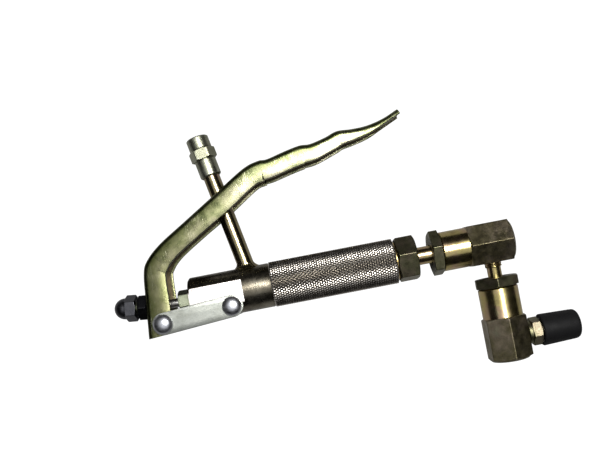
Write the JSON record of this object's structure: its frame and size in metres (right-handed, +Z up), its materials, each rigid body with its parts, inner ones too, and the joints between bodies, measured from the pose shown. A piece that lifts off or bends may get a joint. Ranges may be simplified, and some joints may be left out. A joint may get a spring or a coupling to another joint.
{
  "type": "grease control gun",
  "caption": "Lever-operated high-pressure grease control gun with a knurled grip, a leaning inlet pipe with a hose fitting, and a double-swivel outlet ending in a rubber-booted grease coupler",
  "frame": {"origin": "bottom centre of the bounding box, with the gun lying on its side", "axes": "+X along the valve body towards the outlet, +Y from the body towards the lever, +Z up, across the gun's thickness"},
  "size_m": [0.289, 0.178, 0.0388],
  "materials": {
    "valve_body": "dark zinc plate, knurled",
    "inlet_pipe": "yellow-passivated zinc plate, olive",
    "inlet_fitting": "yellow-passivated zinc plate, olive",
    "packing_nut": "yellow-passivated zinc plate, olive",
    "packing_washer": "plain",
    "stem_packing": "white packing",
    "valve_seat": "plain machined steel",
    "return_spring": "plain machined steel",
    "spring_stop": "plain machined steel",
    "outlet_adapter": "yellow-passivated zinc plate, olive",
    "outlet_washer": "plain",
    "body_link_pin": "plain machined steel",
    "swivel_spindle_1": "yellow-passivated zinc plate, gold",
    "link_plate_upper": "yellow-passivated zinc plate, olive",
    "link_plate_lower": "yellow-passivated zinc plate, olive",
    "lever_pin": "plain machined steel",
    "lever": "yellow-passivated zinc plate with handling scratches",
    "adjusting_screw": "yellow-passivated zinc plate, olive",
    "lock_nut": "black oxide",
    "acorn_nut": "black oxide",
    "valve_stem": "plain machined steel",
    "valve_ball": "plain machined steel",
    "swivel_body_1": "yellow-passivated zinc plate, gold",
    "gland_nut_1": "yellow-passivated zinc plate, olive",
    "thrust_washer_1": "plain",
    "seal_ring_1": "matt black",
    "swivel_spindle_2": "yellow-passivated zinc plate, gold",
    "swivel_body_2": "yellow-passivated zinc plate, gold",
    "gland_nut_2": "yellow-passivated zinc plate, olive",
    "thrust_washer_2": "plain",
    "seal_ring_2": "matt black",
    "coupler_adapter": "yellow-passivated zinc plate, olive",
    "coupler_body": "plain machined steel",
    "coupler_jaw_1": "black oxide",
    "coupler_jaw_2": "black oxide",
    "coupler_jaw_3": "black oxide",
    "coupler_seal": "matt black",
    "coupler_spring": "plain machined steel",
    "coupler_boot": "matt black"
  },
  "bodies": {
    "gun_body": {"valve_body": "valve_body", "inlet_pipe": "inlet_pipe", "inlet_fitting": "inlet_fitting", "packing_nut": "packing_nut", "packing_washer": "packing_washer", "stem_packing": "stem_packing", "valve_seat": "valve_seat", "return_spring": "return_spring", "spring_stop": "spring_stop", "outlet_adapter": "outlet_adapter", "outlet_washer": "outlet_washer", "body_link_pin": "body_link_pin", "swivel_spindle_1": "swivel_spindle_1"},
    "link": {"link_plate_upper": "link_plate_upper", "link_plate_lower": "link_plate_lower", "lever_pin": "lever_pin"},
    "lever": {"lever": "lever", "adjusting_screw": "adjusting_screw", "lock_nut": "lock_nut", "acorn_nut": "acorn_nut"},
    "stem": {"valve_stem": "valve_stem", "valve_ball": "valve_ball"},
    "swivel_1": {"swivel_body_1": "swivel_body_1", "gland_nut_1": "gland_nut_1", "thrust_washer_1": "thrust_washer_1", "seal_ring_1": "seal_ring_1", "swivel_spindle_2": "swivel_spindle_2"},
    "swivel_2": {"swivel_body_2": "swivel_body_2", "gland_nut_2": "gland_nut_2", "thrust_washer_2": "thrust_washer_2", "seal_ring_2": "seal_ring_2", "coupler_adapter": "coupler_adapter", "coupler_body": "coupler_body", "coupler_jaw_1": "coupler_jaw_1", "coupler_jaw_2": "coupler_jaw_2", "coupler_jaw_3": "coupler_jaw_3", "coupler_seal": "coupler_seal", "coupler_spring": "coupler_spring", "coupler_boot": "coupler_boot"}
  },
  "joints": [
    {"name": "link_pivot", "type": "hinge", "parent": "gun_body", "child": "link", "pos_m": [-0.06869, -0.02138, 0.0194], "axis": [0, 0, -1], "range_deg": [-0.9, 0]},
    {"name": "lever_squeeze", "type": "hinge", "parent": "link", "child": "lever", "pos_m": [-0.11249, -0.02448, 0.0194], "axis": [0, 0, -1], "range_deg": [0, 17], "stiffness_Nm_per_rad": 0.35, "springref_deg": -40.11},
    {"name": "stem_slide", "type": "slide", "parent": "gun_body", "child": "stem", "axis": [1, 0, 0], "range_m": [0, 0.0034], "deforming": ["return_spring"]},
    {"name": "swivel_1_turn", "type": "hinge", "parent": "gun_body", "child": "swivel_1", "pos_m": [0.09841, -0.01318, 0.0194], "axis": [1, 0, 0], "continuous": true},
    {"name": "swivel_2_turn", "type": "hinge", "parent": "swivel_1", "child": "swivel_2", "pos_m": [0.09841, -0.07408, 0.0194], "axis": [0, -1, 0], "continuous": true}
  ],
  "couplings": [
    {"joint": "link_pivot", "follows": "lever_squeeze", "ratio": -0.048},
    {"joint": "stem_slide", "follows": "lever_squeeze", "m_per_rad": 0.011287}
  ]
}
